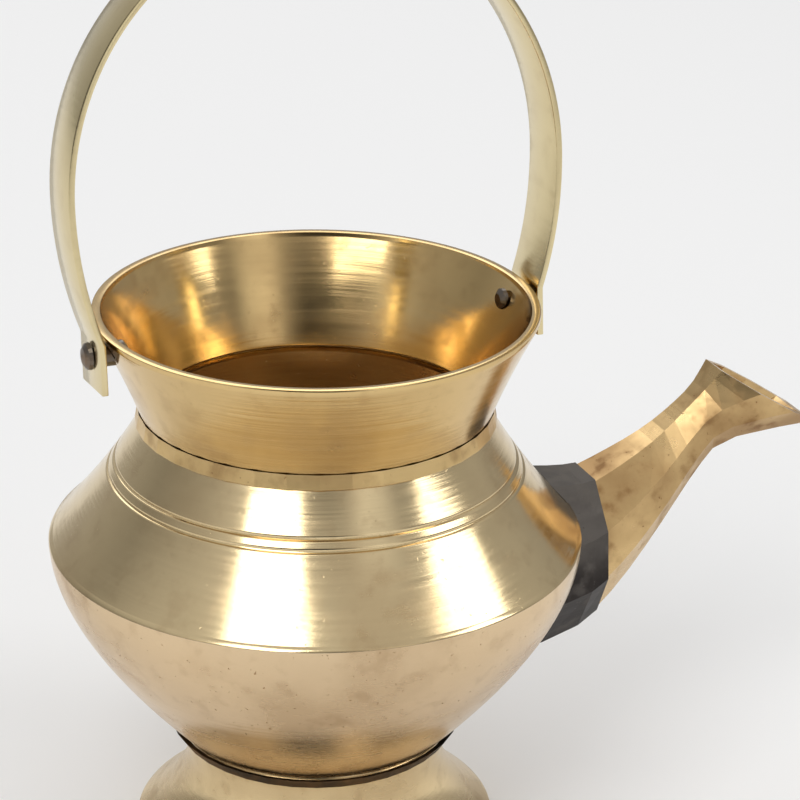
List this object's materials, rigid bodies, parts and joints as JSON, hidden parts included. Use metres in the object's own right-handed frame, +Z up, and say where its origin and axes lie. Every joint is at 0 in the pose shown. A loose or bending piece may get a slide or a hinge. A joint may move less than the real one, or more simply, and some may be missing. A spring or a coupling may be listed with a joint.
{
  "type": "spouted water pot",
  "caption": "Footed metal water pot with a flared mouth, a faceted side spout and a swinging strap bail.",
  "frame": {"origin": "middle of the whole length and width, on the surface that the foot stands on", "axes": "+X from the pot's axis towards the spout and along the bail's pivot, +Z up"},
  "size_m": [0.2176, 0.142, 0.2571],
  "materials": {
    "foot_brass": "worn polish",
    "bowl_brass": "pitted polish",
    "body_brass": "soft polish",
    "neck_brass": "polished",
    "spout_brass": "hammered and filed",
    "bail_brass": "brushed polish",
    "solder": "dark solder and flux",
    "rivet_steel": "dark worn steel"
  },
  "bodies": {
    "vessel": {"foot_ring": "foot_brass", "foot_seam": "solder", "lower_bowl": "bowl_brass", "shoulder_shell": "body_brass", "neck_seam": "solder", "neck_collar": "neck_brass", "spout": "spout_brass", "spout_solder": "solder", "rivet_left": "rivet_steel", "rivet_right": "rivet_steel", "spacer_left": "rivet_steel", "spacer_right": "rivet_steel"},
    "bail": {"bail_handle": "bail_brass"}
  },
  "joints": [
    {"name": "bail_hinge", "type": "hinge", "parent": "vessel", "child": "bail", "pos_m": [-0.03783, 0, 0.1468], "axis": [1, 0, 0], "range_deg": [-105, 115]}
  ]
}
